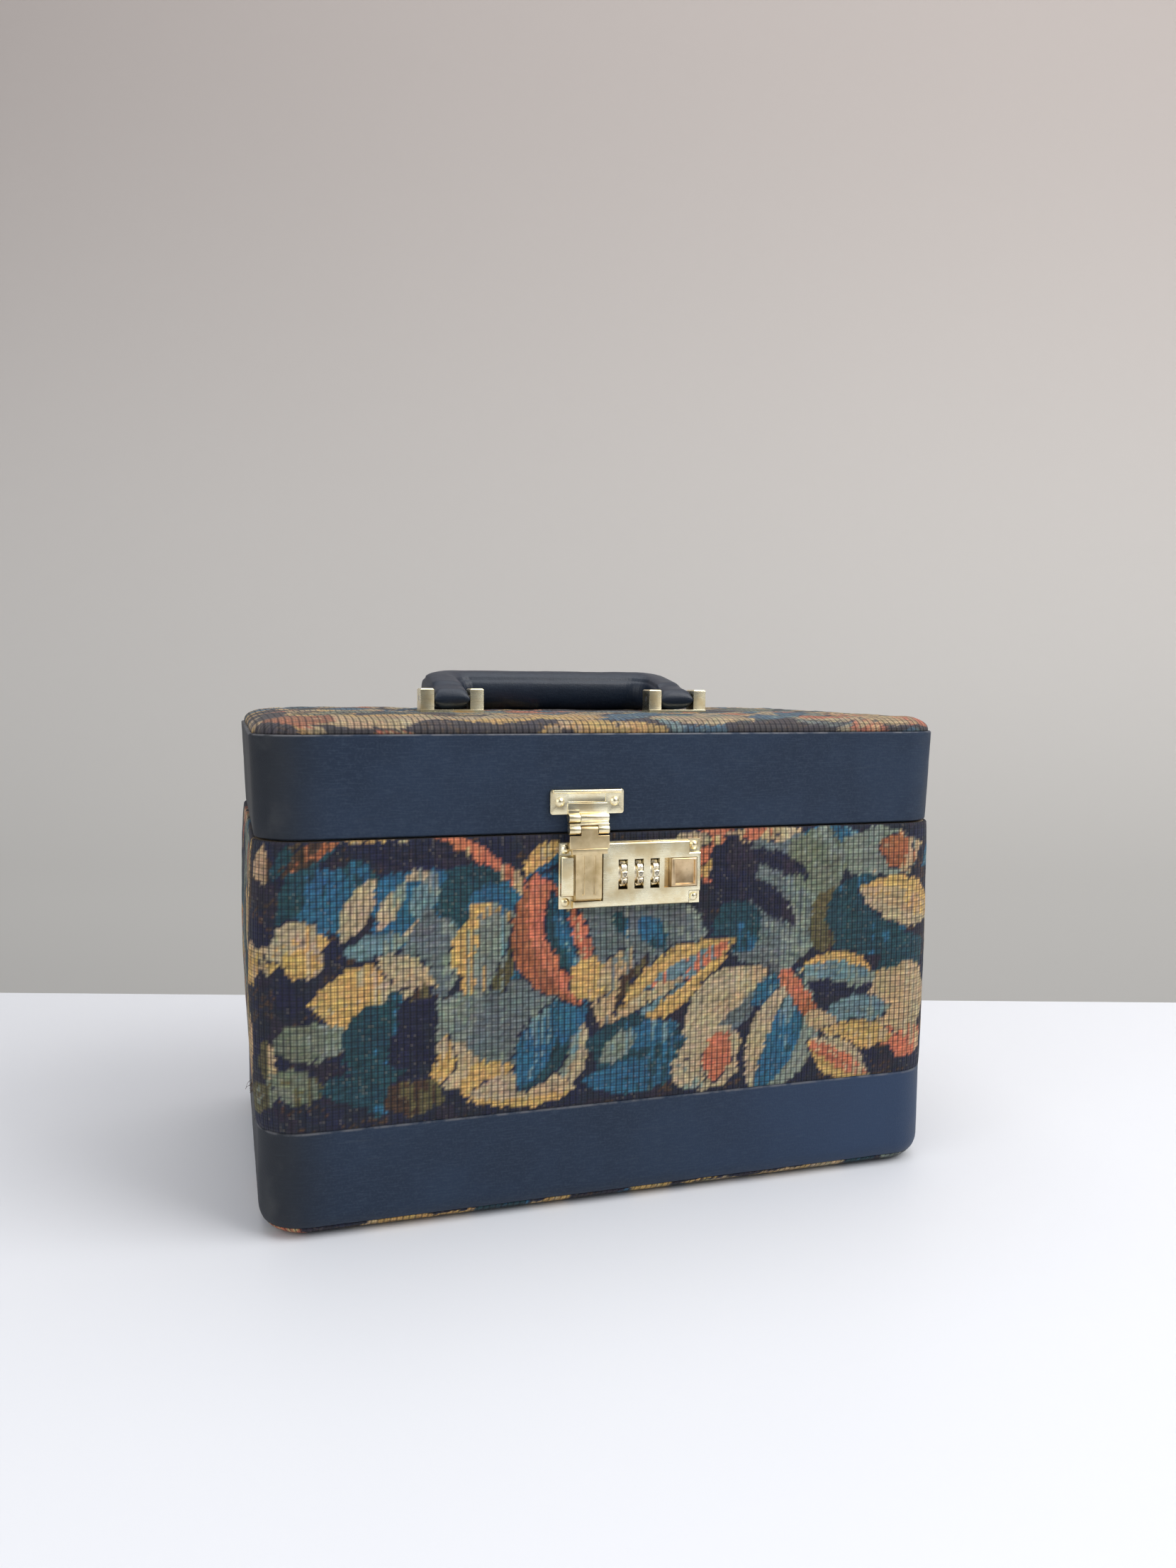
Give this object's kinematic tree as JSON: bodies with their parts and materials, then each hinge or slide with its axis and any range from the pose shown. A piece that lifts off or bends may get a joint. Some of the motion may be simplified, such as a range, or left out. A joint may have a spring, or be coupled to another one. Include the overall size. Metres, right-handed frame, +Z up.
{
  "type": "cosmetic train case",
  "caption": "Hard-sided cosmetic train case with a padded hinged lid, mirror, lid stays, folding top handle and a combination hasp lock.",
  "frame": {"origin": "centre of the base on the surface the case stands on", "axes": "+X to the right along the front, -Y out of the front where the lock is, +Z up"},
  "size_m": [0.3322, 0.2113, 0.2475],
  "materials": {
    "navy_vinyl": "matt",
    "tapestry": "woven",
    "fibre_board": "raw",
    "lining_cloth": "woven",
    "brass_plate": "polished",
    "plated_steel": "satin",
    "mirror_glass": "silvered",
    "wheel_brass": "satin"
  },
  "bodies": {
    "case": {"bottom_cover": "tapestry", "lower_band": "navy_vinyl", "body_cover": "tapestry", "base_shell": "fibre_board", "base_lining": "lining_cloth", "collar": "lining_cloth", "hinge_base_leaf_left": "brass_plate", "hinge_base_leaf_right": "brass_plate", "hinge_pin_left": "plated_steel", "hinge_pin_right": "plated_steel", "hinge_base_rivets": "brass_plate", "stay_bracket_left": "brass_plate", "stay_bracket_right": "brass_plate", "stay_base_rivets_left": "brass_plate", "stay_base_rivets_right": "brass_plate", "lock_plate": "brass_plate", "lock_rivets": "brass_plate", "lock_case": "plated_steel", "wheel_axle": "plated_steel", "detent_spring": "plated_steel"},
    "lid": {"lid_band": "navy_vinyl", "lid_shell": "fibre_board", "lid_lining": "lining_cloth", "lid_top_cover": "tapestry", "mirror_frame": "lining_cloth", "mirror": "mirror_glass", "hinge_lid_leaf_left": "brass_plate", "hinge_lid_leaf_right": "brass_plate", "hinge_lid_rivets": "brass_plate", "stay_pivot_left": "brass_plate", "stay_pivot_right": "brass_plate", "stay_lid_rivets_left": "brass_plate", "stay_lid_rivets_right": "brass_plate", "hasp_plate": "brass_plate", "hasp_rivets": "brass_plate", "hasp_pin_upper": "plated_steel", "handle_bracket_left": "brass_plate", "handle_bracket_right": "brass_plate", "handle_pin_left": "plated_steel", "handle_pin_right": "plated_steel", "bracket_screws_left": "brass_plate", "bracket_screws_right": "brass_plate"},
    "handle": {"handle_grip": "navy_vinyl"},
    "hasp_link": {"hasp_link": "brass_plate", "hasp_pin_lower": "plated_steel"},
    "hasp_arm": {"hasp_arm": "brass_plate"},
    "bolt_slide": {"thumb_slide": "brass_plate", "lock_bolt": "plated_steel"},
    "wheel_a": {"number_wheel_1": "wheel_brass"},
    "wheel_b": {"number_wheel_2": "wheel_brass"},
    "wheel_c": {"number_wheel_3": "wheel_brass"},
    "stay_left": {"stay_arm_left": "brass_plate"},
    "stay_right": {"stay_arm_right": "brass_plate"}
  },
  "joints": [
    {"name": "lid_hinge", "type": "hinge", "parent": "case", "child": "lid", "pos_m": [0, 0.1024, 0.174], "axis": [-1, 0, 0], "range_deg": [0, 100]},
    {"name": "handle_swing", "type": "hinge", "parent": "lid", "child": "handle", "pos_m": [0, 0.006, 0.23275], "axis": [1, 0, 0], "range_deg": [0, 167]},
    {"name": "hasp_link_swing", "type": "hinge", "parent": "lid", "child": "hasp_link", "pos_m": [-0.021, -0.1033, 0.1812], "axis": [-1, 0, 0], "range_deg": [0, 80]},
    {"name": "hasp_arm_swing", "type": "hinge", "parent": "hasp_link", "child": "hasp_arm", "pos_m": [-0.021, -0.1039, 0.1759], "axis": [-1, 0, 0], "range_deg": [0, 80]},
    {"name": "bolt_travel", "type": "slide", "parent": "case", "child": "bolt_slide", "axis": [-1, 0, 0], "range_m": [0, 0.003]},
    {"name": "wheel_a_turn", "type": "hinge", "parent": "case", "child": "wheel_a", "pos_m": [-0.00455, -0.0986, 0.1551], "axis": [1, 0, 0], "continuous": true},
    {"name": "wheel_b_turn", "type": "hinge", "parent": "case", "child": "wheel_b", "pos_m": [0.00315, -0.0986, 0.1551], "axis": [1, 0, 0], "continuous": true},
    {"name": "wheel_c_turn", "type": "hinge", "parent": "case", "child": "wheel_c", "pos_m": [0.01085, -0.0986, 0.1551], "axis": [1, 0, 0], "continuous": true},
    {"name": "stay_left_swing", "type": "hinge", "parent": "lid", "child": "stay_left", "pos_m": [-0.15365, 0.054, 0.1835], "axis": [-1, 0, 0], "range_deg": [-50, 0]},
    {"name": "stay_right_swing", "type": "hinge", "parent": "lid", "child": "stay_right", "pos_m": [0.15365, 0.054, 0.1835], "axis": [-1, 0, 0], "range_deg": [-50, 0]}
  ],
  "couplings": [
    {"joint": "stay_left_swing", "follows": "lid_hinge", "ratio": -0.5},
    {"joint": "stay_right_swing", "follows": "lid_hinge", "ratio": -0.5}
  ]
}
